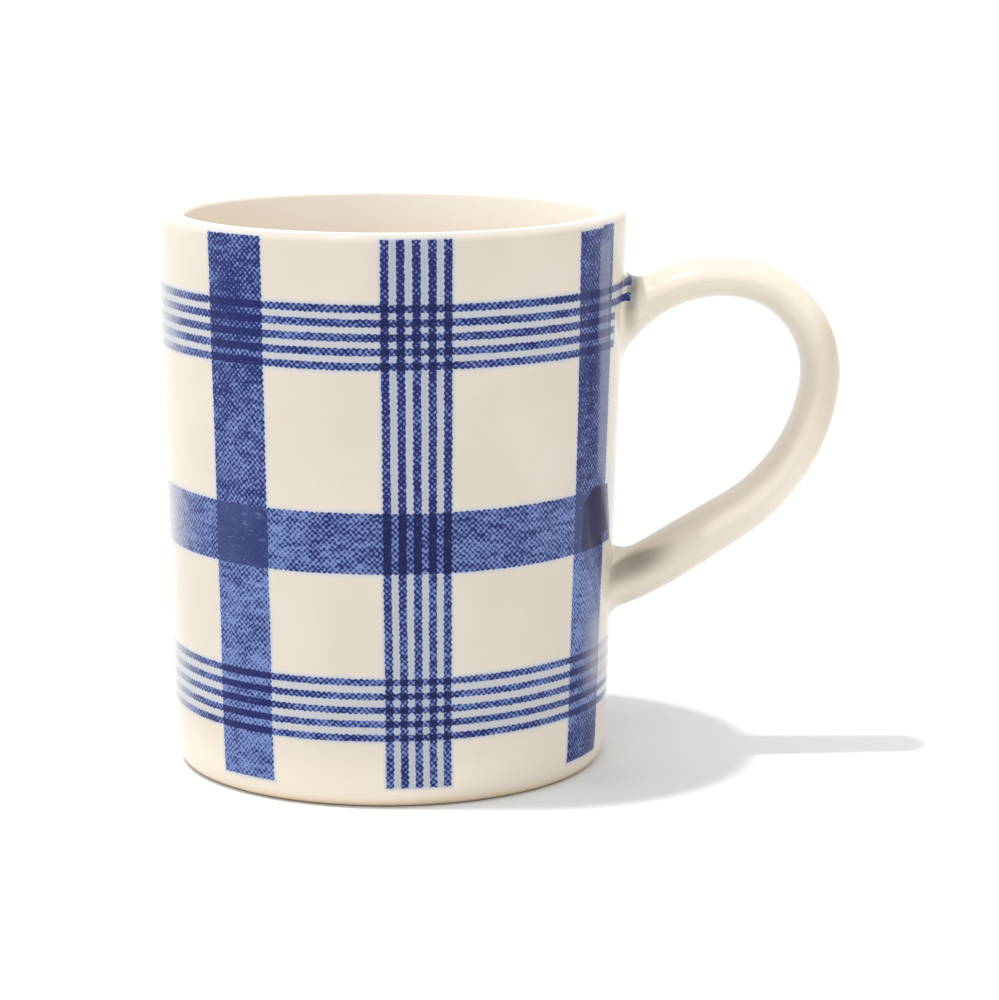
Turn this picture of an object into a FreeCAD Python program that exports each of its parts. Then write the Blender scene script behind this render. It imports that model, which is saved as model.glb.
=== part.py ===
import FreeCAD, Part
import math
import os
import Sketcher

# One-handled ceramic mug, cream glazed, with a blue woven-plaid transfer.
# Millimetres.  Z up, origin at the centre of the foot, handle toward +X.

os.makedirs("parts", exist_ok=True)
doc = FreeCAD.newDocument("plaid_mug")

# ------------------------------------------------------------------ sizes
sheet = doc.addObject("Spreadsheet::Sheet", "sizes")
SIZES = [
    # turned body, glazed outside sizes
    ("mug_height", 99.4), ("rim_radius", 42.0), ("hip_radius", 39.15), ("hip_height", 6.2),
    ("foot_outer", 37.3), ("foot_inner", 33.4), ("recess_radius", 32.2), ("recess_depth", 2.4),
    ("wall_rim", 4.7), ("wall_low", 4.9), ("floor_top", 8.2),
    ("lip_outer_round", 1.5), ("lip_inner_round", 2.2), ("hip_round", 9.0), ("floor_round", 7.0),
    ("foot_round", 0.6),
    # glaze and transfer
    ("glaze", 0.3), ("glaze_line", 1.1), ("transfer", 0.15), ("glaze_gather", 2.0),
    # handle centre line: rise, crown, top bend, side bend, fall
    ("strap_start_x", 38.3), ("strap_start_z", 79.72), ("rise_angle", 25.8), ("rise_length", 12.0),
    ("crown_bend", 23.0), ("crown_turn", 33.7), ("top_bend", 17.4), ("top_turn", 89.2),
    ("side_bend", 33.1), ("side_turn", 51.3), ("fall_length", 29.5),
    ("strap_half_width", 6.1), ("strap_half_thick", 3.9),
    # luted joints
    ("upper_joint_z", 79.6), ("upper_joint_half_height", 8.6), ("upper_joint_half_width", 9.0),
    ("lower_joint_z", 30.6), ("lower_joint_half_height", 7.0), ("lower_joint_half_width", 8.2),
    ("upper_joint_reach", 11.0), ("lower_joint_reach", 13.5), ("joint_skin", 0.6),
    # transfer print
    ("print_top", 97.9), ("print_bottom", 4.6),
    ("upper_line_z", 82.14), ("lower_line_z", 17.6), ("line_step", 2.43), ("line_height", 1.42),
    ("belt_low", 41.5), ("belt_high", 52.2),
    ("band_turn", 16.5), ("line_turn", 2.05), ("line_turn_step", 3.66),
]
for i, (name, value) in enumerate(SIZES):
    sheet.set("A%d" % (i + 1), name)
    sheet.set("B%d" % (i + 1), str(value))
    sheet.setAlias("B%d" % (i + 1), name)
doc.recompute()
V = dict(SIZES)


def ex(text):
    """Turn bare cell names into references to the sheet."""
    out = text
    for name in sorted(V, key=len, reverse=True):
        out = out.replace("<%s>" % name, "<<sizes>>.%s" % name)
    return out


def num(text):
    out = text
    for name in V:
        out = out.replace("<%s>" % name, repr(float(V[name])))
    out = out.replace(" ", "")
    total = 0.0
    # expressions here are sums and differences of terms, each a product or a quotient
    term, sign, buf = [], 1.0, ""
    parts = []
    for k, ch in enumerate(out):
        if ch in "+-" and buf and buf[-1] not in "*/e":
            parts.append((sign, buf))
            sign = 1.0 if ch == "+" else -1.0
            buf = ""
        elif ch in "+-" and not buf:
            sign = sign if ch == "+" else -sign
        else:
            buf += ch
    parts.append((sign, buf))
    for sg, body in parts:
        val = 1.0
        for m, f in enumerate(body.split("*")):
            q = f.split("/")
            v = float(q[0])
            for d in q[1:]:
                v /= float(d)
            val *= v
        total += sg * val
    return total


def plane(body, role):
    for f in body.Origin.OriginFeatures:
        if f.Role == role:
            return f
    raise RuntimeError(role)


def turned(name, label, pts):
    """A body turned about Z from a closed polygon of (radius, height) expressions."""
    body = doc.addObject("PartDesign::Body", name)
    body.Label = label
    sk = body.newObject("Sketcher::SketchObject", name + "_profile")
    sk.AttachmentSupport = [(plane(body, "XZ_Plane"), "")]
    sk.MapMode = "FlatFace"
    n = len(pts)
    xy = [(num(a), num(b)) for a, b in pts]
    for i in range(n):
        p, q = xy[i], xy[(i + 1) % n]
        sk.addGeometry(Part.LineSegment(FreeCAD.Vector(p[0], p[1], 0), FreeCAD.Vector(q[0], q[1], 0)), False)
    for i in range(n):
        sk.addConstraint(Sketcher.Constraint("Coincident", i, 2, (i + 1) % n, 1))
    for i, (a, b) in enumerate(pts):
        if abs(xy[i][0]) < 1e-9:
            sk.addConstraint(Sketcher.Constraint("PointOnObject", i, 1, -2))
        else:
            c = sk.addConstraint(Sketcher.Constraint("DistanceX", -1, 1, i, 1, xy[i][0]))
            sk.setExpression("Constraints[%d]" % c, ex(a))
        if abs(xy[i][1]) < 1e-9:
            sk.addConstraint(Sketcher.Constraint("PointOnObject", i, 1, -1))
        else:
            c = sk.addConstraint(Sketcher.Constraint("DistanceY", -1, 1, i, 1, xy[i][1]))
            sk.setExpression("Constraints[%d]" % c, ex(b))
    rev = body.newObject("PartDesign::Revolution", name + "_turn")
    rev.Profile = sk
    rev.ReferenceAxis = (sk, ["V_Axis"])
    rev.Angle = 360.0
    doc.recompute()
    return body


def round_edges(body, name, picks):
    """Fillet the circular edges nearest to each (radius, height, fillet) pick, one feature each."""
    for k, (r, z, size) in enumerate(picks):
        base = body.Tip
        best, where = None, None
        for i, e in enumerate(base.Shape.Edges):
            if not hasattr(e, "Curve") or e.Curve.TypeId != "Part::GeomCircle":
                continue
            d = math.hypot(e.Curve.Radius - num(r), e.Curve.Center.z - num(z))
            if best is None or d < best:
                best, where = d, i + 1
        if best is None or best > 0.6:
            raise RuntimeError("%s: no edge near %s %s" % (name, r, z))
        f = body.newObject("PartDesign::Fillet", "%s_round%d" % (name, k + 1))
        f.Base = (base, ["Edge%d" % where])
        f.Radius = num(size)
        f.setExpression("Radius", ex(size))
        doc.recompute()
        body.Tip = f


# ------------------------------------------------------------------ turned clay body
outer_low = ("<hip_radius>-<glaze>", "<hip_height>")
outer_top = ("<rim_radius>-<glaze>", "<mug_height>-<glaze>")
inner_top = ("<rim_radius>-<wall_rim>", "<mug_height>-<glaze>")
inner_low = ("<hip_radius>-<wall_low>", "<floor_top>")

clay = turned("clay_body", "clay_body", [
    ("0", "<recess_depth>"), ("<recess_radius>", "<recess_depth>"), ("<foot_inner>", "0"),
    ("<foot_outer>-<glaze>", "0"), outer_low, outer_top, inner_top, inner_low, ("0", "<floor_top>")])
round_edges(clay, "clay", [
    ("<rim_radius>-<glaze>", "<mug_height>-<glaze>", "<lip_outer_round>"),
    ("<rim_radius>-<wall_rim>", "<mug_height>-<glaze>", "<lip_inner_round>"),
    ("<hip_radius>-<glaze>", "<hip_height>", "<hip_round>"),
    ("<hip_radius>-<wall_low>", "<floor_top>", "<floor_round>"),
    ("<foot_outer>-<glaze>", "0", "<foot_round>"),
])

# the same outside, filled in: trims whatever is joined on from outside
filled = turned("clay_outline", "clay_outline", [
    ("0", "<recess_depth>"), ("<recess_radius>", "<recess_depth>"), ("<foot_inner>", "0"),
    ("<foot_outer>-<glaze>", "0"), outer_low, outer_top, ("0", "<mug_height>-<glaze>")])
round_edges(filled, "outline", [
    ("<rim_radius>-<glaze>", "<mug_height>-<glaze>", "<lip_outer_round>"),
    ("<hip_radius>-<glaze>", "<hip_height>", "<hip_round>"),
    ("<foot_outer>-<glaze>", "0", "<foot_round>"),
])

# glazed outside and inside, without the bare foot
coat = turned("glaze_outline", "glaze_outline", [
    ("0", "<floor_top>-1.5"), ("<foot_inner>+1.2", "<floor_top>-1.5"), ("<foot_inner>+1.2", "<glaze_line>"),
    ("<foot_outer>+<glaze_line>*0.30", "<glaze_line>"), ("<hip_radius>", "<hip_height>"),
    ("<rim_radius>", "<mug_height>"), ("<rim_radius>-<wall_rim>-<glaze>", "<mug_height>"),
    ("<hip_radius>-<wall_low>-<glaze>", "<floor_top>+<glaze>"), ("0", "<floor_top>+<glaze>")])
round_edges(coat, "coat", [
    ("<rim_radius>", "<mug_height>", "<lip_outer_round>+<glaze>"),
    ("<rim_radius>-<wall_rim>-<glaze>", "<mug_height>", "<lip_inner_round>+<glaze>"),
    ("<hip_radius>", "<hip_height>", "<hip_round>"),
    ("<hip_radius>-<wall_low>-<glaze>", "<floor_top>+<glaze>", "<floor_round>-<glaze>"),
])

# the glazed outside, filled in: the transfer lies on it
glazed = turned("glazed_solid", "glazed_solid", [
    ("0", "<glaze_line>"), ("<foot_outer>+<glaze_line>*0.30", "<glaze_line>"), ("<hip_radius>", "<hip_height>"),
    ("<rim_radius>", "<mug_height>"), ("0", "<mug_height>")])
round_edges(glazed, "glazed", [
    ("<rim_radius>", "<mug_height>", "<lip_outer_round>+<glaze>"),
    ("<hip_radius>", "<hip_height>", "<hip_round>"),
])

# ------------------------------------------------------------------ handle centre line
def along(x, z, deg, dist):
    r = math.radians(deg)
    return (x + dist * math.cos(r), z + dist * math.sin(r))


head = V["rise_angle"]
p0 = (V["strap_start_x"], V["strap_start_z"])
runs = [(p0, along(p0[0], p0[1], head, V["rise_length"]))]
bends = []
at = runs[0][1]
for bend in ("crown", "top", "side"):
    r, turn = V[bend + "_bend"], V[bend + "_turn"]
    centre = along(at[0], at[1], head - 90.0, r)
    end = along(centre[0], centre[1], head + 90.0 - turn, r)
    bends.append((centre, r, math.radians(head + 90.0 - turn), math.radians(head + 90.0)))
    head -= turn
    at = end
p4 = along(at[0], at[1], head, V["fall_length"])
runs.append((at, p4))
a0, af = math.radians(V["rise_angle"]), math.radians(head)

spine = doc.addObject("Sketcher::SketchObject", "strap_line")
spine.Placement = FreeCAD.Placement(FreeCAD.Vector(0, 0, 0), FreeCAD.Rotation(FreeCAD.Vector(1, 0, 0), 90))


def v2(p):
    return FreeCAD.Vector(p[0], p[1], 0)


def bind(con, text):
    c = spine.addConstraint(con)
    spine.setExpression("Constraints[%d]" % c, ex(text))


spine.addGeometry(Part.LineSegment(v2(runs[0][0]), v2(runs[0][1])), False)
for centre, r, start, end in bends:
    spine.addGeometry(Part.ArcOfCircle(Part.Circle(v2(centre), FreeCAD.Vector(0, 0, 1), r), start, end), False)
spine.addGeometry(Part.LineSegment(v2(runs[1][0]), v2(runs[1][1])), False)
spine.addConstraint(Sketcher.Constraint("Tangent", 0, 2, 1, 2))
spine.addConstraint(Sketcher.Constraint("Tangent", 1, 1, 2, 2))
spine.addConstraint(Sketcher.Constraint("Tangent", 2, 1, 3, 2))
spine.addConstraint(Sketcher.Constraint("Tangent", 3, 1, 4, 1))
bind(Sketcher.Constraint("DistanceX", -1, 1, 0, 1, p0[0]), "<strap_start_x>")
bind(Sketcher.Constraint("DistanceY", -1, 1, 0, 1, p0[1]), "<strap_start_z>")
bind(Sketcher.Constraint("Angle", 0, a0), "<rise_angle>*1deg")
bind(Sketcher.Constraint("Distance", 0, V["rise_length"]), "<rise_length>")
for k, bend in enumerate(("crown", "top", "side")):
    bind(Sketcher.Constraint("Radius", k + 1, V[bend + "_bend"]), "<%s_bend>" % bend)
    bind(Sketcher.Constraint("Angle", k + 1, math.radians(V[bend + "_turn"])), "<%s_turn>*1deg" % bend)
bind(Sketcher.Constraint("Distance", 4, V["fall_length"]), "<fall_length>")
doc.recompute()


def oval(name, at, heading, half_width, half_thick, grow, upright=False):
    """Ellipse across the strap: long axis along Y, facing the given heading in XZ."""
    e = doc.addObject("Part::Ellipse", name)
    wide = num(half_width) + grow >= num(half_thick) + grow
    e.MajorRadius = max(num(half_width), num(half_thick)) + grow
    e.MinorRadius = min(num(half_width), num(half_thick)) + grow
    tail = "" if grow == 0 else "+<glaze>"
    if wide:
        e.setExpression("MajorRadius", ex(half_width + tail))
        e.setExpression("MinorRadius", ex(half_thick + tail))
    else:
        e.setExpression("MajorRadius", ex(half_thick + tail))
        e.setExpression("MinorRadius", ex(half_width + tail))
    e.Angle1, e.Angle2 = 0, 360
    turn = FreeCAD.Rotation(FreeCAD.Vector(0, 1, 0), 90 - math.degrees(heading))
    spin = FreeCAD.Rotation(FreeCAD.Vector(0, 0, 1), 90 if wide else 0)
    e.Placement = FreeCAD.Placement(FreeCAD.Vector(at[0], 0, at[1]), turn.multiply(spin))
    return e


def strap(name, grow):
    s = doc.addObject("Part::Sweep", name)
    s.Sections = [oval(name + "_section", p0, a0, "<strap_half_width>", "<strap_half_thick>", grow)]
    s.Spine = (spine, ["Edge1", "Edge2", "Edge3", "Edge4", "Edge5"])
    s.Solid, s.Frenet = True, False
    return s


def flare(name, foot_z, half_w, half_h, tip, heading, grow):
    s = doc.addObject("Part::Loft", name)
    near = oval(name + "_foot", (V["hip_radius"] - 1.2, num(foot_z)), 0.0, half_w, half_h, grow)
    far = oval(name + "_tip", tip, heading, "<strap_half_width>+<joint_skin>",
               "<strap_half_thick>+<joint_skin>", grow)
    s.Sections = [near, far]
    s.Solid, s.Ruled, s.Closed = True, True, False
    return s


up_tip = along(p0[0], p0[1], V["rise_angle"], V["upper_joint_reach"])
low_tip = along(p4[0], p4[1], head + 180.0, V["lower_joint_reach"])
# the glaze gathers past the end of each fillet
up_tip_coat = along(p0[0], p0[1], V["rise_angle"], V["upper_joint_reach"] + V["glaze_gather"])
low_tip_coat = along(p4[0], p4[1], head + 180.0, V["lower_joint_reach"] + V["glaze_gather"])
low_heading = af + math.pi               # faces away from the wall


def cut(name, base, tool, label=None):
    c = doc.addObject("Part::Cut", name)
    c.Base, c.Tool = base, tool
    if label:
        c.Label = label
    return c


def joined(name, items, label=None):
    f = doc.addObject("Part::MultiFuse", name)
    f.Shapes = items
    if label:
        f.Label = label
    return f


strap_raw = strap("strap_clay", 0)
strap_coat = strap("strap_glazed", V["glaze"])
up_raw = flare("upper_flare", "<upper_joint_z>", "<upper_joint_half_width>", "<upper_joint_half_height>", up_tip, a0, 0)
up_coat = flare("upper_flare_glazed", "<upper_joint_z>", "<upper_joint_half_width>", "<upper_joint_half_height>", up_tip_coat, a0, V["glaze"])
low_raw = flare("lower_flare", "<lower_joint_z>", "<lower_joint_half_width>", "<lower_joint_half_height>", low_tip, low_heading, 0)
low_coat = flare("lower_flare_glazed", "<lower_joint_z>", "<lower_joint_half_width>", "<lower_joint_half_height>", low_tip_coat, low_heading, V["glaze"])
doc.recompute()

handle = cut("handle", strap_raw, filled, "handle")
up_a = cut("upper_joint_trim", up_raw, filled)
upper = cut("upper_slip_joint", up_a, strap_raw, "upper_slip_joint")
low_a = cut("lower_joint_trim", low_raw, filled)
lower = cut("lower_slip_joint", low_a, strap_raw, "lower_slip_joint")

joined_coat = joined("handle_outline", [strap_coat, up_coat, low_coat])
joined_clay = joined("handle_clay_all", [strap_raw, up_raw, low_raw])
handle_glaze_a = cut("handle_glaze_trim", joined_coat, filled)
handle_glaze = cut("handle_glaze", handle_glaze_a, joined_clay, "handle_glaze")
doc.recompute()

# ------------------------------------------------------------------ transfer print
# one thin sleeve of the sheet's own thickness, lying on the glazed surface
sleeve = turned("print_sleeve", "print_sleeve", [
    ("<hip_radius>-2", "<print_bottom>"),
    ("<hip_radius>+<transfer>-<hip_height>*0.30+<print_bottom>*0.30", "<print_bottom>"),
    ("<hip_radius>+<transfer>", "<hip_height>"), ("<rim_radius>+<transfer>", "<print_top>"),
    ("<hip_radius>-2", "<print_top>")])


def ring(name, low, high):
    outer = doc.addObject("Part::Cylinder", name + "_outer")
    inner = doc.addObject("Part::Cylinder", name + "_inner")
    for c, r in ((outer, V["rim_radius"] + 2.0), (inner, V["hip_radius"] - 2.0)):
        c.Radius = r
        c.Height = num(high) - num(low)
        c.Placement = FreeCAD.Placement(FreeCAD.Vector(0, 0, num(low)), FreeCAD.Rotation())
        c.setExpression("Height", ex(high + "-(" + low + ")"))
        c.setExpression("Placement.Base.z", ex(low))
    outer.setExpression("Radius", ex("<rim_radius>+2"))
    inner.setExpression("Radius", ex("<hip_radius>-2"))
    return cut(name, outer, inner)


def sector(name, middle, turn, factor):
    """Upright wedge slice from the axis outwards; middle is degrees from +X."""
    c = doc.addObject("Part::Cylinder", name)
    c.Radius = V["rim_radius"] + 2.0
    c.setExpression("Radius", ex("<rim_radius>+2"))
    c.Height = V["print_top"] - V["print_bottom"]
    c.setExpression("Height", ex("<print_top>-<print_bottom>"))
    c.Angle = num(turn) * factor
    c.setExpression("Angle", ex(turn + "*%g" % factor))
    start = middle - num(turn) * factor / 2.0
    c.Placement = FreeCAD.Placement(FreeCAD.Vector(0, 0, V["print_bottom"]),
                                    FreeCAD.Rotation(FreeCAD.Vector(0, 0, 1), start))
    return c


strips = []
for k in range(-2, 3):
    for where in ("upper", "lower"):
        mid = "<%s_line_z>+<line_step>*%d" % (where, k) if k >= 0 else "<%s_line_z>-<line_step>*%d" % (where, -k)
        low = mid + "-<line_height>/2"
        high = mid + "+<line_height>/2"
        strips.append(ring("%s_line_%d" % (where, k + 3), low, high))
strips.append(ring("belt", "<belt_low>", "<belt_high>"))
# degrees from the handle, counter-clockwise from above
for k, middle in enumerate((-30.0, -130.0, 130.0, 30.0)):
    strips.append(sector("band_%d" % (k + 1), middle, "<band_turn>", 1.0))
for g, middle in enumerate((-83.7, 180.0, 83.7)):
    for k in range(-2, 3):
        strips.append(sector("fine_%d_%d" % (g + 1, k + 3), middle + k * V["line_turn_step"], "<line_turn>", 1.0))

lattice = joined("lattice", strips)
plaid_a = doc.addObject("Part::MultiCommon", "plaid_trim")
plaid_a.Shapes = [lattice, sleeve]
plaid_b = cut("plaid_lift", plaid_a, glazed)
plaid = cut("plaid_transfer", plaid_b, joined_coat, "plaid_transfer")

# ------------------------------------------------------------------ body glaze
body_glaze_a = cut("body_glaze_skin", coat, clay)
body_glaze = cut("body_glaze", body_glaze_a, joined_coat, "body_glaze")

recess_glaze = turned("foot_recess_glaze", "foot_recess_glaze", [
    ("0", "<recess_depth>-<glaze>"), ("<recess_radius>-0.6", "<recess_depth>-<glaze>"),
    ("<recess_radius>-0.6", "<recess_depth>"), ("0", "<recess_depth>")])
doc.recompute()

# ------------------------------------------------------------------ checks and export
NODES = [clay, handle, upper, lower, body_glaze, handle_glaze, recess_glaze, plaid]
for obj in doc.Objects:
    if "Invalid" in obj.State or "Error" in obj.State:
        raise RuntimeError("failed: %s %s" % (obj.Name, obj.State))


for obj in NODES:
    shape = obj.Shape
    if shape.isNull() or not shape.isValid() or not shape.Solids:
        raise RuntimeError("bad shape: %s" % obj.Label)

for obj in NODES:
    shape = obj.Shape
    # a trim against the curved wall can leave crumbs: keep the piece itself
    whole = [piece for piece in shape.Solids if piece.Volume > 2.0]
    shape = whole[0] if len(whole) == 1 else Part.makeCompound(whole)
    print("%-20s solids %d faces %d volume %.2f box %s" % (
        obj.Label, len(shape.Solids), len(shape.Faces), shape.Volume, shape.BoundBox))
    shape.exportStep("parts/%s.step" % obj.Label)
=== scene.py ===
import math
import bpy
import numpy as np
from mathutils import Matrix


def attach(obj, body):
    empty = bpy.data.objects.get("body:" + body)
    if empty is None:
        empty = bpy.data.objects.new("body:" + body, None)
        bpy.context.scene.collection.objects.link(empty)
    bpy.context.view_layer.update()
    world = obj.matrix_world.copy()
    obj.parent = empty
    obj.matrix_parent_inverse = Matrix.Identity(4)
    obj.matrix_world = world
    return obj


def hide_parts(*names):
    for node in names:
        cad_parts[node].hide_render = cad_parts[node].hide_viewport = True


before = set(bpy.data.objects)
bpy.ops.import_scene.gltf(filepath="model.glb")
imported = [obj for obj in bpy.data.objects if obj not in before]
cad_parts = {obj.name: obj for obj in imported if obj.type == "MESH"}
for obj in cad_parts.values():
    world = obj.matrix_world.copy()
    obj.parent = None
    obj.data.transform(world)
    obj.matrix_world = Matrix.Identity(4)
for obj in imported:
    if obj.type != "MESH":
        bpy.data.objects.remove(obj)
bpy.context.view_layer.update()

MM = 0.001
scene = bpy.context.scene

# ---------------------------------------------------------------- camera
cam_data = bpy.data.cameras.new("camera")
cam = bpy.data.objects.new("camera", cam_data)
scene.collection.objects.link(cam)
cam_data.lens = 117.4
cam_data.sensor_width = 36.0
cam_data.clip_end = 50.0
cam_data.dof.use_dof = False
cam.location = (0.0, -0.5799, 0.1596)
cam.rotation_mode = "XYZ"
cam.rotation_euler = (math.radians(90.0 - 11.028), math.radians(0.0), math.radians(-1.919))
scene.camera = cam

# ---------------------------------------------------------------- sizes, mm
R_TOP, R_HIP, Z_HIP, H_TOP = 41.88, 39.2, 6.2, 99.4


def wall_r(z):
    """Glazed outside radius of the straight wall."""
    return R_HIP + (R_TOP - R_HIP) * (z - Z_HIP) / (H_TOP - Z_HIP)


def tilt(z):
    """The turned body leans a few tenths of a millimetre towards the handle."""
    return 0.0095 * (z - 48.0)


# ---------------------------------------------------------------- small mesh helpers
def new_object(name, verts, faces, smooth=True):
    me = bpy.data.meshes.new(name)
    me.from_pydata([tuple(float(c) * MM for c in v) for v in verts], [], faces)
    me.validate()
    me.update()
    ob = bpy.data.objects.new(name, me)
    scene.collection.objects.link(ob)
    if smooth:
        me.polygons.foreach_set("use_smooth", [True] * len(me.polygons))
    return ob


def bezier(p0, p1, p2, p3, n):
    t = np.linspace(0, 1, n)[:, None]
    p0, p1, p2, p3 = map(lambda p: np.array(p, float), (p0, p1, p2, p3))
    return (1 - t) ** 3 * p0 + 3 * (1 - t) ** 2 * t * p1 + 3 * (1 - t) * t ** 2 * p2 + t ** 3 * p3


def arc_pts(cx, cz, r, a0, a1, n, rz=None):
    rz = r if rz is None else rz
    a = np.radians(np.linspace(a0, a1, n))
    return np.stack([cx + r * np.cos(a), cz + rz * np.sin(a)], 1)


def lathe(name, profile, seg, closed_axis=(True, True), wave=None):
    """Turn a profile of (r, z) about Z.  The ends sit on the axis and become single points."""
    prof = [tuple(p) for p in profile]
    verts, rings = [], []
    for k, (r, z) in enumerate(prof):
        if r < 1e-6:
            rings.append([len(verts)])
            verts.append((tilt(z), 0.0, z))
            continue
        ring = []
        for i in range(seg):
            a = 2 * math.pi * i / seg
            rr = r + (wave(a, z, r) if wave else 0.0)
            ring.append(len(verts))
            verts.append((rr * math.cos(a) + tilt(z), rr * math.sin(a), z))
        rings.append(ring)
    faces = []
    for a, b in zip(rings[:-1], rings[1:]):
        if len(a) == 1 and len(b) == 1:
            continue
        for i in range(seg):
            j = (i + 1) % seg
            if len(a) == 1:
                faces.append((a[0], b[i], b[j]))
            elif len(b) == 1:
                faces.append((a[i], b[0], a[j]))
            else:
                faces.append((a[i], b[i], b[j], a[j]))
    return new_object(name, verts, faces), rings


def outward(ob):
    """Make the normals of a closed mesh point out."""
    me = ob.data
    vol = 0.0
    v = np.empty(len(me.vertices) * 3)
    me.vertices.foreach_get("co", v)
    v = v.reshape(-1, 3)
    for p in me.polygons:
        idx = list(p.vertices)
        for k in range(1, len(idx) - 1):
            a, b, c = v[idx[0]], v[idx[k]], v[idx[k + 1]]
            vol += float(np.dot(a, np.cross(b, c)))
    if vol < 0:
        me.flip_normals()
    me.update()


def sharpen(ob, ring_pairs):
    """Crease the edges whose two ends are both in one of the given rings."""
    me = ob.data
    want = set()
    for ring in ring_pairs:
        n = len(ring)
        for i in range(n):
            want.add((min(ring[i], ring[(i + 1) % n]), max(ring[i], ring[(i + 1) % n])))
    attr = me.attributes.get("sharp_edge") or me.attributes.new("sharp_edge", "BOOLEAN", "EDGE")
    vals = [(min(e.vertices), max(e.vertices)) in want for e in me.edges]
    attr.data.foreach_set("value", vals)


# ---------------------------------------------------------------- glazed body
def turned_wave(a, z, r):
    """Hand-turned irregularity, a few hundredths of a millimetre."""
    if r < 30.0:
        return 0.0
    k = 0.035 * math.sin(2 * a + 0.6 + z * 0.02) + 0.022 * math.sin(3 * a + 1.9 - z * 0.035)
    k += 0.018 * math.sin(z * 0.19 + 1.2 * math.sin(a)) + 0.012 * math.sin(z * 0.43 + a * 2.0)
    fade = min(1.0, max(0.0, (z - 1.5) / 8.0))
    return k * fade


hip = bezier((37.62, 0.34), (38.60, 0.75), (39.13, 2.9), (wall_r(8.2), 8.2), 24)
wall = np.array([(wall_r(z), z) for z in np.linspace(8.2, 98.0, 74)][1:])
lip_out = arc_pts(wall_r(98.0) - 1.36, 98.04, 1.36, 0, 90, 12)[1:]
lip_top = np.array([(r, 99.4 + 0.10 * math.sin(math.pi * (r - 38.1) / (40.6 - 38.1))) for r in np.linspace(40.45, 38.15, 8)])
lip_in = arc_pts(38.1, 98.2, 1.2, 90, 180, 10)[1:]
inner = np.array([(36.9 - (36.9 - 33.95) * (98.0 - z) / (98.0 - 15.5), z) for z in np.linspace(97.6, 15.5, 46)])
floor_round = arc_pts(33.95 - 6.7, 15.2, 6.7, 0, -90, 16)[1:]
floor_flat = np.array([(r, 8.5 + 0.12 * (r / 27.0) ** 2 - 0.12) for r in np.linspace(25.5, 2.0, 16)])
bottom = [(0.0, 5.2), (33.9, 5.2), (34.3, 4.9), (34.5, 0.75), (34.8, 0.5), (37.0, 0.3), (37.4, 0.24)]
profile = bottom + list(map(tuple, hip)) + list(map(tuple, wall)) + list(map(tuple, lip_out)) + \
    list(map(tuple, lip_top)) + list(map(tuple, lip_in)) + list(map(tuple, inner)) + \
    list(map(tuple, floor_round)) + list(map(tuple, floor_flat)) + [(0.0, 8.38)]
SEG = 384
body, body_rings = lathe("glazed_body", profile, SEG, wave=turned_wave)
outward(body)
sharpen(body, [body_rings[k] for k in (1, 3)])

# foot ring of bare clay, with the recess wall
foot_prof = [(0.0, 5.15), (33.6, 5.15), (35.9, 4.6), (36.85, 2.2), (37.1, 1.2), (37.28, 0.6), (37.3, 0.3), (37.12, 0.1), (36.7, 0.0),
             (34.2, 0.0), (33.8, 0.05), (33.45, 0.25), (33.1, 0.7), (32.5, 1.6), (32.1, 2.15), (31.6, 2.4), (30.6, 2.5), (0.0, 2.5)]
foot, foot_rings = lathe("foot_ring", foot_prof, 256)
outward(foot)
sharpen(foot, [foot_rings[1]])

recess_prof = [(0.0, 2.62), (31.0, 2.62), (31.55, 2.45), (31.6, 2.3), (31.35, 2.14), (30.8, 2.08)] + \
    [(r, 2.08 - 0.05 * math.sin(r * 0.7)) for r in np.linspace(29.5, 2.0, 22)] + [(0.0, 2.08)]
recess, _ = lathe("recess_glaze", recess_prof, 192)
outward(recess)

# ---------------------------------------------------------------- handle
def centre_line():
    """Heading in degrees along the strap, smoothed, then integrated."""
    runs = [(12.0, 0.0), (23.0 * math.radians(33.7), -1 / 23.0), (17.4 * math.radians(89.2), -1 / 17.4),
            (33.1 * math.radians(51.3), -1 / 33.1), (14.5, 0.0), (8.0, -math.radians(8.0) / 8.0), (7.5, 0.0)]
    ds = 0.1
    heading = [math.radians(25.8)]
    for length, k in runs:
        for _ in range(int(round(length / ds))):
            heading.append(heading[-1] + k * ds)
    th = np.array(heading)
    # smooth the curvature steps
    half = 35
    pad = np.concatenate([np.full(half, th[0]), th, np.full(half, th[-1])])
    ker = np.hanning(2 * half + 1)
    ker /= ker.sum()
    th = np.convolve(pad, ker, mode="valid")
    x = 38.3 + np.concatenate([[0], np.cumsum(np.cos((th[1:] + th[:-1]) / 2) * ds)])
    z = 79.72 + np.concatenate([[0], np.cumsum(np.sin((th[1:] + th[:-1]) / 2) * ds)])
    s = np.arange(len(th)) * ds
    return s, x, z, th


S, CX, CZ, TH = centre_line()
S_END = S[-1]


def at(s):
    x, z, t = np.interp(s, S, CX), np.interp(s, S, CZ), np.interp(s, S, TH)
    return x, z, t


KEY_S = np.array([0, 8, 18, 30, 42, 52, 60, 68, 76, 84, 92, 100, 108, S_END])
KEY_T = np.array([3.78, 3.74, 3.68, 3.62, 3.60, 3.64, 3.72, 3.88, 4.12, 4.40, 4.62, 4.66, 4.38, 4.30])
KEY_W = np.array([7.1, 6.7, 6.4, 6.2, 6.1, 6.15, 6.2, 6.3, 6.5, 6.7, 6.8, 6.9, 7.1, 7.3])


def smooth_keys(keys, vals):
    g = np.linspace(0, S_END, 400)
    v = np.interp(g, keys, vals)
    k = np.hanning(41)
    k /= k.sum()
    v = np.convolve(np.concatenate([np.full(20, v[0]), v, np.full(20, v[-1])]), k, mode="valid")
    return g, v


GT, VT = smooth_keys(KEY_S, KEY_T)
GW, VW = smooth_keys(KEY_S, KEY_W)


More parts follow.
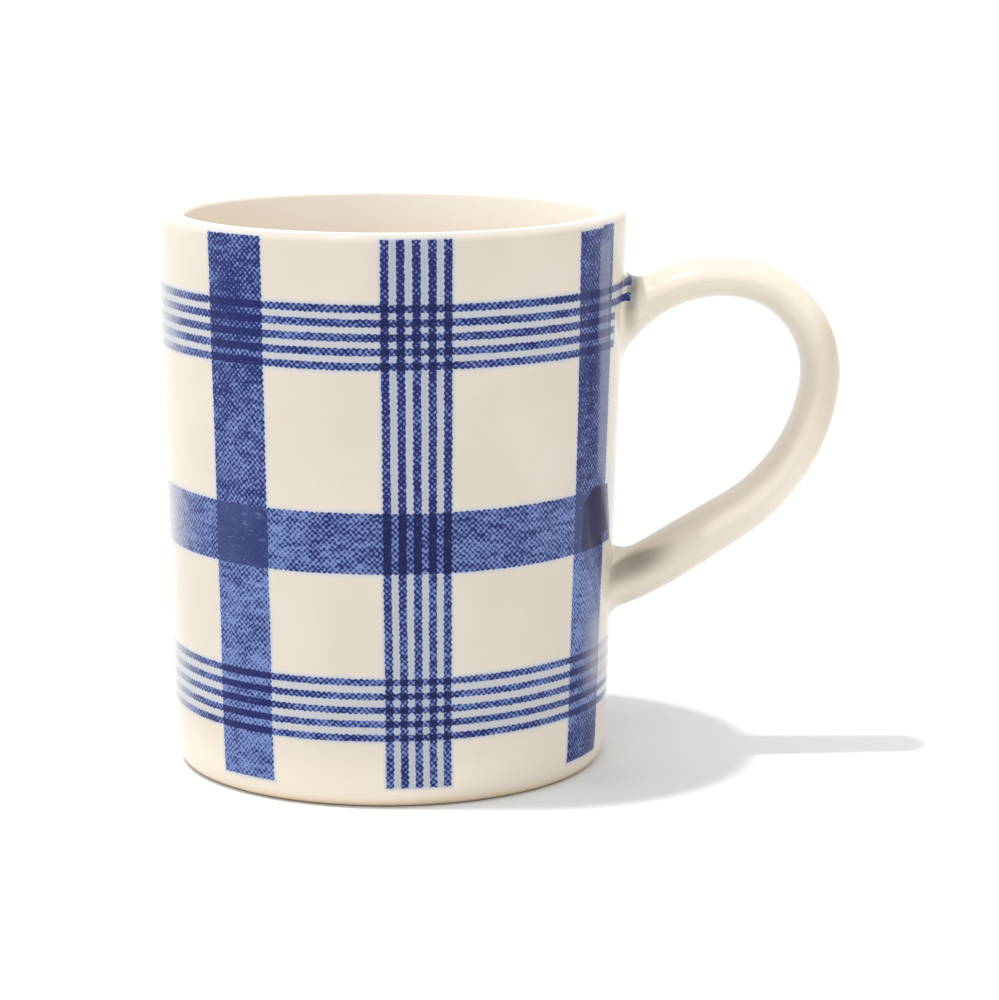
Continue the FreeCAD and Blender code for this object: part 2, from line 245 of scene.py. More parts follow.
def offset(theta, s):
    """Offset from the centre line: (along N, along Y)."""
    t, w = np.interp(s, GT, VT), np.interp(s, GW, VW)
    n = 1.92
    c, q = math.cos(theta), math.sin(theta)
    return (math.copysign(abs(c) ** (2 / n), c) * t, math.copysign(abs(q) ** (2 / n), q) * w)


def tube_point(theta, s):
    x, z, th = at(s)
    n, y = offset(theta, s)
    return np.array([x - math.sin(th) * n, y, z + math.cos(th) * n])


def radius_gap(p):
    return math.hypot(p[0] - tilt(p[2]), p[1]) - wall_r(p[2])


def meet(theta, lo, hi):
    """Arc length where the tube's ruling leaves the wall; gap(lo) and gap(hi) differ in sign."""
    flo = radius_gap(tube_point(theta, lo))
    for _ in range(40):
        mid = 0.5 * (lo + hi)
        f = radius_gap(tube_point(theta, mid))
        if (f > 0) == (flo > 0):
            lo, flo = mid, f
        else:
            hi = mid
    return 0.5 * (lo + hi)


def on_wall(u, z, depth=0.0):
    r = wall_r(z) - depth
    a = u / wall_r(z)
    return np.array([r * math.cos(a) + tilt(z), r * math.sin(a), z])


def blend4(theta, top, side, bottom):
    """Value around the section: top at theta 0, bottom at 180, side at 90."""
    c = math.cos(theta)
    return side * (1 - c * c) + (top if c > 0 else bottom) * c * c


NTH = 96
THETAS = [2 * math.pi * (i + 0.5) / NTH for i in range(NTH)]
root_z = {}


def root(which):
    """Rows of points from the wall to the strap: fillet first, then where the tube starts."""
    rows_f, s_h = [], []
    pts_p = []
    for th in THETAS:
        if which == "upper":
            s = meet(th, -0.0, 9.0)
        else:
            s = meet(th, S_END - 12.0, S_END)
        pts_p.append((s, tube_point(th, s)))
    zc = 0.5 * (max(p[1][2] for p in pts_p) + min(p[1][2] for p in pts_p))
    hz = 0.5 * (max(p[1][2] for p in pts_p) - min(p[1][2] for p in pts_p))
    us = [math.atan2(p[1][1], p[1][0] - tilt(p[1][2])) * wall_r(p[1][2]) for p in pts_p]
    hu = max(us)
    out = []
    for th, (s, P), u in zip(THETAS, pts_p, us):
        if which == "upper":
            h = blend4(th, 4.6, 6.5, 11.0)
            w = blend4(th, 3.6, 4.2, 6.2)
            sh = s + h
            wt = blend4(th, 0.55, 0.62, 0.70)
        else:
            h = blend4(th, 1.9, 4.2, 5.2)
            w = blend4(th, 0.9, 2.6, 3.3)
            sh = s - h
            wt = blend4(th, 0.60, 0.60, 0.60)
        Hp = tube_point(th, sh)
        du, dz = u / hu ** 2, (P[2] - zc) / hz ** 2
        L = math.hypot(du, dz)
        W = on_wall(u + w * du / L, P[2] + w * dz / L, 0.012)
        Win = on_wall(u + (w + 0.35) * du / L, P[2] + (w + 0.35) * dz / L, 0.9)
        Wback = on_wall(u * 0.9, zc + (P[2] - zc) * 0.9, 1.6)
        col = [Wback, Win, W]
        for k in range(1, 13):
            t = k / 12.0
            b0, b1, b2 = (1 - t) ** 2, 2 * t * (1 - t) * wt, t * t
            # the wall part follows the curved wall: control point on the wall itself
            q = (b0 * W + b1 * P + b2 * Hp) / (b0 + b1 + b2)
            gap = radius_gap(q)
            if gap < -0.012:
                qx = q[0] - tilt(q[2])
                f = (wall_r(q[2]) - 0.012) / math.hypot(qx, q[1])
                q = np.array([qx * f + tilt(q[2]), q[1] * f, q[2]])
            col.append(q)
        out.append(col)
        s_h.append(sh)
    return out, s_h, zc


up_cols, up_s, up_zc = root("upper")
lo_cols, lo_s, lo_zc = root("lower")
s_mid_a, s_mid_b = 16.0, S_END - 18.0
n_a, n_mid, n_b = 8, 120, 12
cols = []
for i, th in enumerate(THETAS):
    c = list(up_cols[i])
    for k in range(1, n_a + 1):
        c.append(tube_point(th, up_s[i] + (s_mid_a - up_s[i]) * k / n_a))
    for k in range(1, n_mid + 1):
        c.append(tube_point(th, s_mid_a + (s_mid_b - s_mid_a) * k / n_mid))
    for k in range(1, n_b):
        c.append(tube_point(th, s_mid_b + (lo_s[i] - s_mid_b) * k / n_b))
    c += list(reversed(lo_cols[i]))
    cols.append(c)
nrow = len(cols[0])
hv = [tuple(cols[i][k]) for k in range(nrow) for i in range(NTH)]
hf = []
for k in range(nrow - 1):
    for i in range(NTH):
        j = (i + 1) % NTH
        hf.append((k * NTH + i, k * NTH + j, (k + 1) * NTH + j, (k + 1) * NTH + i))
c0 = len(hv)
hv.append(tuple(on_wall(0.0, up_zc, 1.7)))
hv.append(tuple(on_wall(0.0, lo_zc, 1.7)))
for i in range(NTH):
    j = (i + 1) % NTH
    hf.append((c0, j, i))
    hf.append((c0 + 1, (nrow - 1) * NTH + i, (nrow - 1) * NTH + j))
handle = new_object("handle_strap", hv, hf)
outward(handle)
ring = lambda k: [k * NTH + i for i in range(NTH)]
sharpen(handle, [ring(2), ring(nrow - 3), ring(1), ring(nrow - 2)])

# ---------------------------------------------------------------- baking layout of the body
def body_uv():
    """Outer wall as two half-turn sheets, one above the other; the rest small at the top."""
    me = body.data
    uv = me.uv_layers.new(name="OFBake")
    n = len(me.vertices)
    co = np.empty(n * 3)
    me.vertices.foreach_get("co", co)
    co = co.reshape(-1, 3) / MM
    first_wall = body_rings[7][0]          # start of the hip
    last_wall = body_rings[7 + len(hip) + len(wall) + 6][0]
    data = np.zeros((len(me.loops), 2))
    li = 0
    for p in me.polygons:
        idx = list(p.vertices)
        c = co[idx].mean(0)
        ang = math.atan2(-c[1], -c[0])      # 0 opposite the handle, +-pi at the handle
        outer = min(idx) >= first_wall and max(idx) < last_wall + SEG
        r0 = math.hypot(c[0], c[1])
        for k, loop in enumerate(p.loop_indices):
            v = co[idx[k]]
            if outer:
                a = math.atan2(-v[1], -v[0])
                if a - ang > math.pi:
                    a -= 2 * math.pi
                if ang - a > math.pi:
                    a += 2 * math.pi
                half = 0 if ang < 0 else 1
                base = -math.pi if half == 0 else 0.0
                u = 0.003 + 0.994 * (a - base) / math.pi
                w = 0.003 + 0.447 * (v[2] - 0.8) / 99.0 + half * 0.453
            elif c[2] > 15.5 and r0 > 33.0:
                a = math.atan2(-v[1], -v[0])
                if a - ang > math.pi:
                    a -= 2 * math.pi
                if ang - a > math.pi:
                    a += 2 * math.pi
                u = 0.003 + 0.60 * (a + math.pi) / (2 * math.pi)
                w = 0.910 + 0.085 * min(1.0, (99.6 - v[2] + max(0.0, 42.0 - math.hypot(v[0], v[1])) * 0.5) / 90.0)
            elif c[2] > 8.0:
                u = 0.66 + 0.040 * v[0] / 37.0
                w = 0.952 + 0.040 * v[1] / 37.0
            else:
                u = 0.76 + 0.040 * v[0] / 37.0
                w = 0.952 + 0.040 * v[1] / 37.0
            data[loop] = (u, w)
    uv.data.foreach_set("uv", data.ravel())
    me.uv_layers.active = uv


body_uv()

# ---------------------------------------------------------------- node helpers
class Nodes:
    def __init__(self, tree):
        self.t = tree
        self.x = 0

    def node(self, kind, **kw):
        n = self.t.nodes.new(kind)
        self.x += 40
        n.location = (self.x % 2400, -(self.x // 2400) * 220)
        for k, v in kw.items():
            setattr(n, k, v)
        return n

    def put(self, sock, v):
        if isinstance(v, (int, float)):
            sock.default_value = v
        elif isinstance(v, tuple):
            sock.default_value = v
        else:
            self.t.links.new(v, sock)

    def m(self, op, a, b=0.0, c=None, clamp=False):
        n = self.node("ShaderNodeMath", operation=op, use_clamp=clamp)
        self.put(n.inputs[0], a)
        self.put(n.inputs[1], b)
        if c is not None:
            self.put(n.inputs[2], c)
        return n.outputs[0]

    def add(self, a, b): return self.m("ADD", a, b)
    def sub(self, a, b): return self.m("SUBTRACT", a, b)
    def mul(self, a, b): return self.m("MULTIPLY", a, b)
    def mn(self, a, b): return self.m("MINIMUM", a, b)
    def mx(self, a, b): return self.m("MAXIMUM", a, b)
    def ab(self, a): return self.m("ABSOLUTE", a)

    def step(self, v, lo, hi, a=0.0, b=1.0):
        n = self.node("ShaderNodeMapRange", interpolation_type="SMOOTHSTEP", clamp=True)
        self.put(n.inputs["Value"], v)
        n.inputs["From Min"].default_value = lo
        n.inputs["From Max"].default_value = hi
        n.inputs["To Min"].default_value = a
        n.inputs["To Max"].default_value = b
        return n.outputs["Result"]

    def mix(self, f, a, b):
        n = self.node("ShaderNodeMix", data_type="RGBA", blend_type="MIX")
        self.put(n.inputs[0], f)
        self.put(n.inputs[6], a)
        self.put(n.inputs[7], b)
        return n.outputs[2]

    def noise(self, vec, scale, detail=2.0, rough=0.5, dist=0.0):
        n = self.node("ShaderNodeTexNoise")
        self.put(n.inputs["Vector"], vec)
        n.inputs["Scale"].default_value = scale
        n.inputs["Detail"].default_value = detail
        n.inputs["Roughness"].default_value = rough
        n.inputs["Distortion"].default_value = dist
        return n.outputs["Fac"]

    def xyz(self, x, y, z):
        n = self.node("ShaderNodeCombineXYZ")
        self.put(n.inputs[0], x)
        self.put(n.inputs[1], y)
        self.put(n.inputs[2], z)
        return n.outputs[0]


def material(name):
    m = bpy.data.materials.new(name)
    m.use_nodes = True
    t = m.node_tree
    t.nodes.clear()
    k = Nodes(t)
    out = k.node("ShaderNodeOutputMaterial")
    bsdf = k.node("ShaderNodeBsdfPrincipled")
    t.links.new(bsdf.outputs[0], out.inputs[0])
    co = k.node("ShaderNodeTexCoord").outputs["Object"]
    sep = k.node("ShaderNodeSeparateXYZ")
    t.links.new(co, sep.inputs[0])
    mm = [k.mul(sep.outputs[i], 1000.0) for i in range(3)]
    return m, k, bsdf, co, mm


CREAM = (0.612, 0.548, 0.466, 1.0)
CREAM_PALE = (0.642, 0.584, 0.504, 1.0)
CREAM_WARM = (0.615, 0.515, 0.385, 1.0)
CREAM_IN_PAINTED_LIGHT = (0.895, 0.862, 0.806, 1.0)
BLUE_LIGHT = (0.158, 0.226, 0.470, 1.0)
BLUE_DARK = (0.004, 0.012, 0.108, 1.0)
BLUE_CROSS = (0.0005, 0.0035, 0.056, 1.0)
BLUE_BAND = (0.0008, 0.006, 0.088, 1.0)
BLUE_DULL = (0.026, 0.040, 0.150, 1.0)
BLUE_REFLECTED = (0.125, 0.150, 0.285, 1.0)
BLUE_REFLECTED_PALE = (0.200, 0.225, 0.315, 1.0)
HALO = (0.400, 0.470, 0.590, 1.0)
GROUND = (0.322, 0.340, 0.375, 1.0)


def cream(k, co, mm, painted_light_lift=1.0):
    """Cream glaze: tone varies at random, with small warmer spots; paler towards the bottom, which is painted
    reflection of the bright floor; darker and warmer along the bottom edge.
    """
    tone = lambda c: tuple(min(1.0, v * painted_light_lift) for v in c[:3]) + (1.0,)
    n1 = k.noise(co, 38.0, 3.0, 0.55)
    n2 = k.noise(co, 210.0, 2.0, 0.5)
    c = k.mix(k.step(n1, 0.36, 0.66), tone(CREAM), tone(CREAM_PALE))
    c = k.mix(k.mul(k.step(n2, 0.55, 0.80), 0.10), c, tone(CREAM_WARM))
    # painted reflection: the glaze is paler towards the bottom, as if lit by the bright floor
    hip_floor_reflection = k.mul(k.step(mm[2], 14.0, 3.0), 0.68)
    c = k.mix(hip_floor_reflection, c, (0.800, 0.715, 0.600, 1.0))
    c = k.mix(k.mul(k.step(mm[2], 2.2, 0.4), 0.80), c, (0.660, 0.520, 0.345, 1.0))
    return c


def strips(k, au, half, centres):
    """Signed distance in mm to the nearest of some upright bands."""
    out = None
    for c in centres:
        d = k.sub(k.mul(k.ab(k.sub(au, c)), 0.7086), half)
        out = d if out is None else k.mn(out, d)
    return out


def comb(k, v, pitch, half, scale=1.0):
    """Signed distance in mm to the nearest of five lines about zero; v is the offset from the middle one."""
    q = k.mul(v, 1.0 / pitch)
    qq = k.m("ROUND", k.mn(k.mx(q, -2.0), 2.0))
    return k.sub(k.mul(k.ab(k.sub(q, qq)), pitch * scale), half)


def plaid(k, co, mm, on_handle=False):
    """Woven plaid.  Returns the fields that the glaze mixes its blues from."""
    x, y, z = mm
    rad = k.m("SQRT", k.add(k.mul(x, x), k.mul(y, y)))
    ang = k.m("ARCTAN2", k.mul(y, -1.0), k.mul(x, -1.0))
    a = k.sub(k.mul(ang, 57.29578), 90.0)            # degrees, 0 at the front, 90 at the handle
    u = k.mul(a, 0.7086)                              # mm along the wall
    um, zm = k.mul(u, 0.001), k.mul(z, 0.001)
    lay = lambda w: k.xyz(um, zm, w)
    wob = k.noise(lay(0.00), 26.0, 1.0, 0.5)
    wob2 = k.noise(lay(0.21), 70.0, 2.0, 0.5)
    edge = k.noise(lay(0.52), 780.0, 1.0, 0.5)
    # threads drift a little, and the sheet leans a hair towards the top
    zu = k.add(z, k.add(k.mul(k.sub(wob, 0.5), 0.45), k.mul(k.sub(edge, 0.5), 0.20)))
    lean = k.mul(k.mul(k.sub(z, 12.0), 0.0060), k.step(k.ab(k.sub(a, 30.0)), 50.0, 44.0))
    lean = k.add(lean, k.mul(k.mul(k.mx(k.sub(z, 62.0), 0.0), 0.033), k.mul(k.step(a, 30.0, 45.0), k.step(a, 90.0, 80.0))))
    au = k.add(k.add(a, lean), k.mul(k.add(k.mul(k.sub(wob2, 0.5), 0.35), k.mul(k.sub(edge, 0.5), 0.20)), 1.41123))
    # weave: staggered dots on a 1.03 mm lattice, each one pushed about
    wx = k.noise(lay(0.31), 620.0, 2.0, 0.55)
    wz = k.noise(lay(0.77), 620.0, 2.0, 0.55)
    gx = k.m("COSINE", k.mul(k.add(u, k.mul(k.sub(wx, 0.5), 0.95)), 2 * math.pi / 1.03))
    gz = k.m("COSINE", k.mul(k.add(z, k.mul(k.sub(wz, 0.5), 0.80)), 2 * math.pi / 1.03))
    g = k.mul(gx, gz)
    fine = k.noise(lay(0.13), 1500.0, 2.0, 0.6)
    row = k.noise(k.xyz(k.mul(um, 0.30), zm, 0.47), 1250.0, 1.0, 0.5)
    cloud = k.noise(lay(0.91), 120.0, 3.0, 0.6)
    patch = k.noise(lay(0.66), 300.0, 2.0, 0.55)
    # upright strips
    right = strips(k, au, 5.72, (60.0,))
    bands = k.mn(right, strips(k, au, 5.86, (-40.1, -140.0, -240.0)))
    fines = None
    for c in (6.32, -90.0, -186.3):
        d = comb(k, k.sub(au, c), 3.665, 0.70, 0.7086)
        fines = d if fines is None else k.mn(fines, d)
    group_v = None
    for c in (6.32, -90.0, -186.3):
        d = k.sub(k.mul(k.ab(k.sub(au, c)), 0.7086), 5.9)
        group_v = d if group_v is None else k.mn(group_v, d)
    ends = k.mx(k.sub(z, k.sub(98.62, k.mul(k.step(a, 60.8, 60.2), k.step(a, 40.0, 50.0, 0.0, 0.40)))), k.sub(3.72, z))
    dv = k.mx(k.mn(bands, fines), ends)
    # level strips
    belt = k.sub(k.ab(k.sub(zu, 46.85)), 5.30)
    lines = k.mn(comb(k, k.sub(zu, 82.14), 2.43, 0.66), comb(k, k.sub(zu, 17.62), 2.46, 0.60))
    group_h = k.mn(k.sub(k.ab(k.sub(zu, 82.14)), 5.6), k.sub(k.ab(k.sub(zu, 17.62)), 5.55))
    # the sheet is cut away round the handle, aslant at the belt
    hand = k.mn(k.sub(90.0, a), k.add(a, 270.0))       # degrees from the handle
    cut_at = k.add(20.2, k.mul(k.step(z, 53.0, 42.0), -4.0))
    cut_at = k.add(cut_at, k.mul(k.step(z, 83.4, 83.9), -8.5))
    open_h = k.mul(k.sub(cut_at, hand), 0.7086)
    open_h = k.mn(open_h, k.sub(z, 30.0))
    if on_handle:
        reach = k.sub(k.add(rad, k.mul(k.sub(patch, 0.5), 1.2)), 43.0)
        open_h = k.mx(k.mx(k.mx(reach, k.sub(83.2, z)), k.sub(z, 88.6)), y)
        dv = k.add(dv, 50.0)
    dh = k.mx(k.mn(belt, lines), open_h)
    group_h = k.mx(group_h, open_h)
    # the corner of the sheet folded over itself beside the handle
    w1 = k.sub(a, k.sub(55.5, k.mul(k.sub(50.0, z), 0.06)))
    w2 = k.sub(z, k.sub(41.7, k.mul(k.sub(a, 55.3), 1.122)))
    w3 = k.mn(k.sub(k.add(66.8, k.mul(k.sub(53.3, z), 0.60)), a), k.mx(k.sub(z, 43.6), k.sub(67.3, a)))
    w4 = k.sub(k.add(52.5, k.mn(0.0, k.mul(k.sub(a, 60.5), 0.45))), z)
    w1 = k.mx(w1, k.sub(42.0, z))
    fold_d = k.mul(k.mn(k.mn(w1, w2), k.mn(w3, w4)), -0.7)
    deep = k.step(z, 41.2, 42.0)
    if on_handle:
        fold_d = 5.0
        deep = 0.0
    rag = k.add(k.mul(g, -0.10), k.mul(k.sub(fine, 0.5), 0.32))
    V = k.step(k.add(dv, rag), 0.10, -0.10)
    H = k.step(k.add(dh, rag), 0.10, -0.10)
    F = k.step(fold_d, 0.12, -0.12) if not on_handle else 0.0
    cover = k.mx(k.mx(V, H), F)
    # crossings keep the neat edge of the upper sheet
    Vc = k.step(k.add(dv, k.mul(rag, 0.35)), 0.12, -0.06)
    Hc = k.step(k.add(dh, k.mul(rag, 0.35)), 0.12, -0.06)
    cross = k.mul(Vc, Hc)
    wide = k.mul(k.step(bands, 0.05, -0.05), k.step(belt, 0.05, -0.05))
    # ink density: weave dots, clouded, denser in the narrow lines, thinner low down
    narrow = k.mx(k.step(fines, 0.1, -0.1), k.step(lines, 0.1, -0.1))
    dens = k.add(k.mul(g, 0.56), k.mul(k.sub(fine, 0.5), 1.50))
    dens = k.add(dens, k.mul(k.sub(row, 0.5), 1.15))
    dens = k.add(dens, k.mul(k.sub(patch, 0.5), 0.50))
    dens = k.add(dens, k.mul(k.sub(cloud, 0.5), 0.85))
    dens = k.add(dens, k.step(z, 22.0, 98.0, 0.00, 0.30))
    dens = k.sub(dens, k.mul(k.step(bands, 0.05, -0.05), k.step(z, 60.0, 40.0, 0.00, 0.10)))
    dens = k.add(dens, k.mul(narrow, 0.20))
    dens = k.sub(dens, k.mul(k.step(lines, 0.1, -0.1), -0.30 if on_handle else k.step(z, 50.0, 70.0, 0.04, 0.26)))
    dens = k.add(dens, k.mul(k.mul(k.step(z, 80.0, 74.0), k.step(z, 48.0, 56.0)), k.mul(k.step(right, 0.05, -0.05), 0.22)))
    dens = k.add(dens, k.mul(k.step(z, 13.0, 8.0), k.mul(k.step(right, 0.05, -0.05), 0.45)))
    ink = k.step(dens, -0.48, 0.50)
    # pale blue bleed beside the print
    near = k.mn(dv, dh)
    halo = k.mul(k.step(near, 0.85, 0.0), k.sub(1.0, cover))
    in_v, in_h = k.step(group_v, 0.5, -0.4), k.step(group_h, 0.5, -0.4)
    in_v = k.mul(in_v, k.step(ends, 0.4, -0.2))
    ground = k.mul(k.mn(k.add(k.mul(in_v, k.step(z, 60.0, 84.0, 0.72, 0.90)), k.mul(in_h, 0.44)), 0.97), k.sub(1.0, cover))
    # painted reflection: on the half of the right-hand band next to the handle the blue is paled, standing in for the
    # glaze's sheen where the wall turns away
    inner_edge = k.add(k.step(z, 80.0, 76.0, 60.6, 62.2), k.mul(k.sub(patch, 0.5), -2.4))
    thin = k.mul(k.step(k.sub(au, inner_edge), -0.5, 0.5), k.step(k.sub(right, 0.2), 0.0, -0.2))
    tail = k.step(k.sub(z, k.sub(41.7, k.mul(k.sub(a, 55.3), 1.122))), 0.6, -0.6)
    thin = k.mul(thin, k.step(z, 52.0, 56.0))
    frame_d = k.mx(k.sub(z, 95.6), k.mn(k.sub(au, 66.2), k.sub(z, 76.5)))
    thin = k.mul(thin, k.step(frame_d, 0.5, -0.5, 0.25, 1.0))
    # painted reflection also lower down on the same band
    low = k.mul(k.mul(tail, k.step(z, 30.0, 26.0, 0.45, 1.0)), k.mul(k.step(z, 14.0, 18.5), k.step(a, 55.5, 60.5)))
    low = k.mul(low, k.step(k.sub(right, 0.2), 0.0, -0.2))
    thin = k.mx(thin, low)
    # painted reflection: the lower lines are paled towards the handle side, where the wall turns away
    lower_right_reflection = k.mul(k.mul(k.step(a, 58.5, 66.0), k.step(a, 112.0, 104.0)), k.mul(k.step(z, 14.5, 18.0), k.step(z, 30.0, 26.5)))
    cover = k.mul(cover, k.sub(1.0, k.mul(lower_right_reflection, k.step(right, -0.1, 0.1, 0.26, 0.62))))
    # painted reflection: the print is paled at the side opposite the handle, where the wall turns away
    left_reflection = k.mul(k.step(a, -57.0, -80.0), k.step(a, -112.0, -96.0))
    cover = k.mul(cover, k.sub(1.0, k.mul(left_reflection, 0.62)))
    lap = k.mul(k.mul(k.step(a, 67.6, 68.3), k.step(a, 79.0, 78.0)), k.mul(k.step(z, 42.6, 43.4), k.step(z, 55.6, 55.0)))
    return dict(lap=lap, ink=ink, cover=cover, cross=cross, halo=halo, g=g, fine=fine, cloud=cloud, fold=F, wide=wide,
                ground=ground, thin=thin, patch=patch, row=row, rad=rad, deep=deep, bands=bands)


def glaze_material(name, with_print, on_handle=False):
    m, k, bsdf, co, mm = material(name)
    # painted light: the handle gets a lighter copy of the cream glaze, lifted 1.17 times
    base = cream(k, co, mm, 1.17 if on_handle else 1.0)
    bump_src = None
    rough = k.add(0.15 if on_handle else 0.085, k.mul(k.noise(co, 90.0, 2.0, 0.5), 0.05))
    if with_print:
        p = plaid(k, co, mm, on_handle)
        if on_handle:
            x, y, z = mm
            # painted shade: darker and warmer down the outer side of the loop, which faces away from the key; painted
            # shade on the crown, toned greyer and darker where the key falls on top
            base = k.mix(k.mul(k.step(x, 73.0, 79.5), k.step(z, 85.0, 78.0)), base, (0.615, 0.530, 0.428, 1.0))
            base = k.mix(k.step(z, 87.6, 90.4), base, (0.600, 0.568, 0.530, 1.0))
            # painted shade: dark grey in the crease where the flares meet the strap
            upper_crease_ring = k.mul(k.step(p["rad"], 41.7, 42.8), k.step(p["rad"], 45.0, 43.2))
            upper_crease_shade = k.mul(upper_crease_ring, k.mul(k.step(z, 75.0, 86.0, 0.0, 1.0), k.step(z, 91.8, 88.8)))
            upper_crease_shade = k.mul(upper_crease_shade, k.step(p["patch"], 0.10, 0.60, 0.45, 1.0))
            base = k.mix(k.mul(upper_crease_shade, 0.84), base, (0.105, 0.102, 0.080, 1.0))
            # painted shade: dark in the crook of the lower root, where the mug body shades the handle
            rise = k.sub(z, k.add(36.1, k.mul(k.sub(x, 44.0), 0.38)))
            # painted shade mask for the crook of the lower root
            lo = k.mul(k.step(p["rad"], 37.5, 41.2), k.step(p["rad"], 53.0, 45.0))
            lo = k.mul(lo, k.mul(k.step(rise, -4.2, -0.2), k.step(rise, 1.9, 0.7)))
            base = k.mix(k.mul(lo, 0.70), base, (0.165, 0.158, 0.122, 1.0))
        blue = k.mix(p["ink"], BLUE_LIGHT, BLUE_DARK)
        # crossings print nearly solid, with small skips
        skip = k.mul(k.step(p["fine"], 0.56, 0.70), k.step(p["patch"], 0.40, 0.62))
        solid = k.mix(k.mul(p["wide"], k.step(p["cloud"], 0.30, 0.62, 0.45, 1.0)), BLUE_CROSS, BLUE_DULL)
        solid = k.mix(k.mul(k.step(p["bands"], 0.05, -0.05), k.sub(1.0, p["wide"])), solid, BLUE_BAND)
        if not on_handle:
            solid = k.mix(k.mul(p["fold"], k.mul(p["deep"], 0.90)), solid, BLUE_CROSS)
        solid = k.mix(k.mul(skip, k.add(0.25, k.mul(p["wide"], 0.25))), solid, BLUE_LIGHT)
        solid = k.mix(k.mul(k.step(p["row"], 0.60, 0.72), k.mul(p["wide"], 0.30)), solid, BLUE_LIGHT)
        blue = k.mix(k.mul(p["cross"], 0.95), blue, solid)
        if not on_handle:
            blue = k.mix(k.mul(p["fold"], k.mul(p["deep"], 0.92)), blue, BLUE_CROSS)
            blue = k.mix(k.mul(p["fold"], k.mul(k.sub(1.0, p["deep"]), 0.45)), blue, BLUE_DARK)
            # painted reflection: paler blues over the handle side of the right-hand band
            thin = k.mul(p["thin"], k.step(p["fine"], 0.30, 0.62, 0.50, 0.85))
            thin = k.mul(thin, k.sub(1.0, k.mul(p["cross"], 0.60)))
            blue = k.mix(thin, blue, k.mix(k.step(mm[2], 74.0, 82.0), BLUE_REFLECTED, BLUE_REFLECTED_PALE))
        if not on_handle:
            base = k.mix(k.mul(p["lap"], 0.50), base, (0.520, 0.540, 0.610, 1.0))
            base = k.mix(p["ground"], base, GROUND)
        base = k.mix(k.mul(p["halo"], 0.25 if on_handle else 0.60), base, HALO)
        base = k.mix(p["cover"], base, blue)
        if not on_handle:
            # inside the mug: plain glaze, painted paler as a lit copy of the cream; painted shade makes it darker and
            # warmer deeper down and towards the left
            gap = k.sub(p["rad"], k.add(R_HIP, k.mul(k.sub(mm[2], Z_HIP), (R_TOP - R_HIP) / (H_TOP - Z_HIP))))
            inside = k.mul(k.step(gap, -1.3, -1.7), k.step(mm[2], 7.0, 7.6))
            # painted shade: the flat top of the lip is toned darker where the key falls on it
            top = k.mul(k.step(mm[2], 98.9, 99.1), k.step(p["rad"], 41.7, 41.4))
            base = k.mix(top, base, (0.565, 0.528, 0.478, 1.0))
            depth = k.step(k.sub(mm[2], k.mul(p["cloud"], 3.0)), 97.5, 80.0)
            inside_painted_shade = k.mn(k.add(k.mul(depth, 0.60), k.step(mm[0], -8.0, -38.0, 0.0, 0.36)), 1.0)
            base = k.mix(inside, base, k.mix(inside_painted_shade, CREAM_IN_PAINTED_LIGHT, (0.850, 0.722, 0.545, 1.0)))
            rough = k.add(rough, k.mul(k.mul(p["cover"], k.sub(1.0, inside)), 0.03))
            bump_src = k.mul(k.sub(1.0, inside), k.add(k.mul(p["g"], k.mul(p["cover"], 0.5)), p["cover"]))
    # glaze undulation
    n = k.noise(co, 95.0, 2.0, 0.45)
    b1 = k.node("ShaderNodeBump")
    b1.inputs["Strength"].default_value = 0.22
    b1.inputs["Distance"].default_value = 0.00020
    k.put(b1.inputs["Height"], n)
    nrm = b1.outputs[0]
    if bump_src is not None:
        b2 = k.node("ShaderNodeBump")
        b2.inputs["Strength"].default_value = 0.25
        b2.inputs["Distance"].default_value = 0.000012
        k.put(b2.inputs["Height"], bump_src)
        k.put(b2.inputs["Normal"], nrm)
        nrm = b2.outputs[0]
    k.put(bsdf.inputs["Base Color"], base)
    k.put(bsdf.inputs["Roughness"], rough)
    k.put(bsdf.inputs["Normal"], nrm)
    bsdf.inputs["IOR"].default_value = 1.33
    bsdf.inputs["Specular IOR Level"].default_value = 0.38
    return m


def clay_material(name):
    m, k, bsdf, co, mm = material(name)
    n1 = k.noise(co, 120.0, 4.0, 0.6)
    n2 = k.noise(co, 1400.0, 2.0, 0.6)
    c = k.mix(k.step(n1, 0.35, 0.7), (0.52, 0.44, 0.335, 1.0), (0.60, 0.525, 0.42, 1.0))
    c = k.mix(k.mul(k.step(n2, 0.58, 0.75), 0.5), c, (0.36, 0.28, 0.20, 1.0))
    k.put(bsdf.inputs["Base Color"], c)
    k.put(bsdf.inputs["Roughness"], k.step(n2, 0.2, 0.8, 0.72, 0.9))
    b = k.node("ShaderNodeBump")
    b.inputs["Strength"].default_value = 0.5
    b.inputs["Distance"].default_value = 0.00008
    k.put(b.inputs["Height"], n2)
    k.put(bsdf.inputs["Normal"], b.outputs[0])
    return m


mat_body = glaze_material("printed_cream_glaze", True)
mat_handle = glaze_material("handle_cream_glaze_look", True, on_handle=True)
mat_recess = glaze_material("recess_cream_glaze", False)
mat_clay = clay_material("bare_fired_clay")
for ob, mt, slot in ((body, mat_body, "cream_glaze"), (handle, mat_handle, "handle_cream_glaze"),
                     (recess, mat_recess, "recess_glaze"), (foot, mat_clay, "bare_clay")):
    ob.data.materials.append(mt)
    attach(ob, "root")

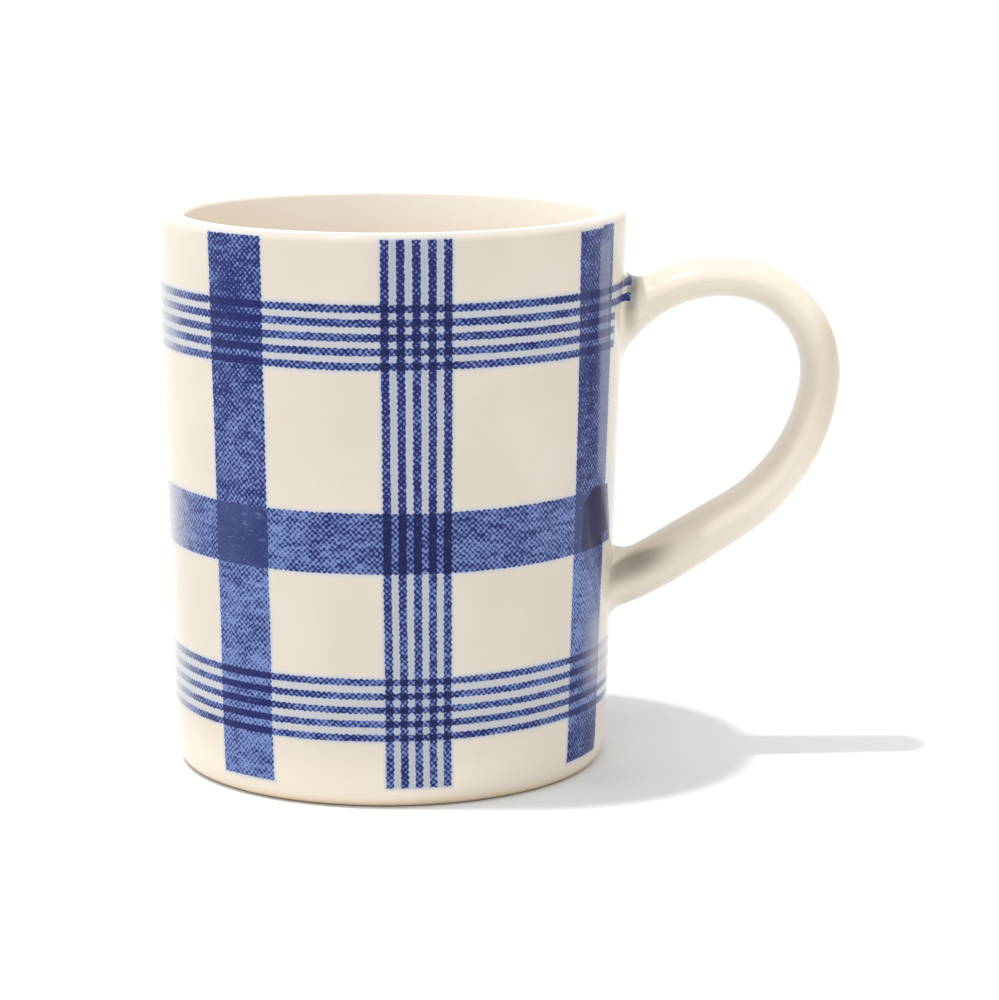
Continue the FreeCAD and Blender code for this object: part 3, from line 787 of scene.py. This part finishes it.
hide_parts("body_glaze", "plaid_transfer")
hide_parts("clay_body")
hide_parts("foot_recess_glaze")
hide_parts("handle", "handle_glaze", "upper_slip_joint", "lower_slip_joint")

# ---------------------------------------------------------------- stage
fl = bpy.data.meshes.new("floor")
fl.from_pydata([(-12, -5, 0), (12, -5, 0), (12, 24, 0), (-12, 24, 0)], [], [(0, 1, 2, 3)])
floor = bpy.data.objects.new("floor", fl)
scene.collection.objects.link(floor)
fm = bpy.data.materials.new("floor_white")
fm.use_nodes = True
fb = fm.node_tree.nodes["Principled BSDF"]
fb.inputs["Base Color"].default_value = (0.780, 0.784, 0.790, 1.0)
fb.inputs["Roughness"].default_value = 0.9
fb.inputs["Specular IOR Level"].default_value = 0.1
fl.materials.append(fm)

world = bpy.data.worlds.new("studio")
scene.world = world
world.use_nodes = True
wt = world.node_tree
bg = wt.nodes["Background"]
wc = wt.nodes.new("ShaderNodeTexCoord")
ws = wt.nodes.new("ShaderNodeSeparateXYZ")
wm = wt.nodes.new("ShaderNodeMapRange")
wt.links.new(wc.outputs["Generated"], ws.inputs[0])
wt.links.new(ws.outputs[0], wm.inputs["Value"])
wm.inputs["From Min"].default_value = -1.0
wm.inputs["From Max"].default_value = 1.0
wm.inputs["To Min"].default_value = 1.39
wm.inputs["To Max"].default_value = 0.85
wt.links.new(wm.outputs["Result"], bg.inputs["Strength"])
bg.inputs[0].default_value = (1.0, 1.0, 1.0, 1.0)

# one small hard-edged key, high and a little to the left
from mathutils import Vector
sun_data = bpy.data.lights.new("key", "SUN")
sun_data.energy = 1.9
sun_data.angle = 0.055
sun_data.color = (1.0, 0.99, 0.975)
sun = bpy.data.objects.new("key", sun_data)
sun.rotation_euler = Vector((0.25, 0.015, -1.0)).to_track_quat("-Z", "Y").to_euler()
sun.location = (-0.3, 0.0, 1.2)
scene.collection.objects.link(sun)

scene.view_settings.view_transform = "Standard"
scene.view_settings.look = "None"
scene.view_settings.exposure = 0.0
scene.view_settings.gamma = 1.0

bpy.context.view_layer.update()
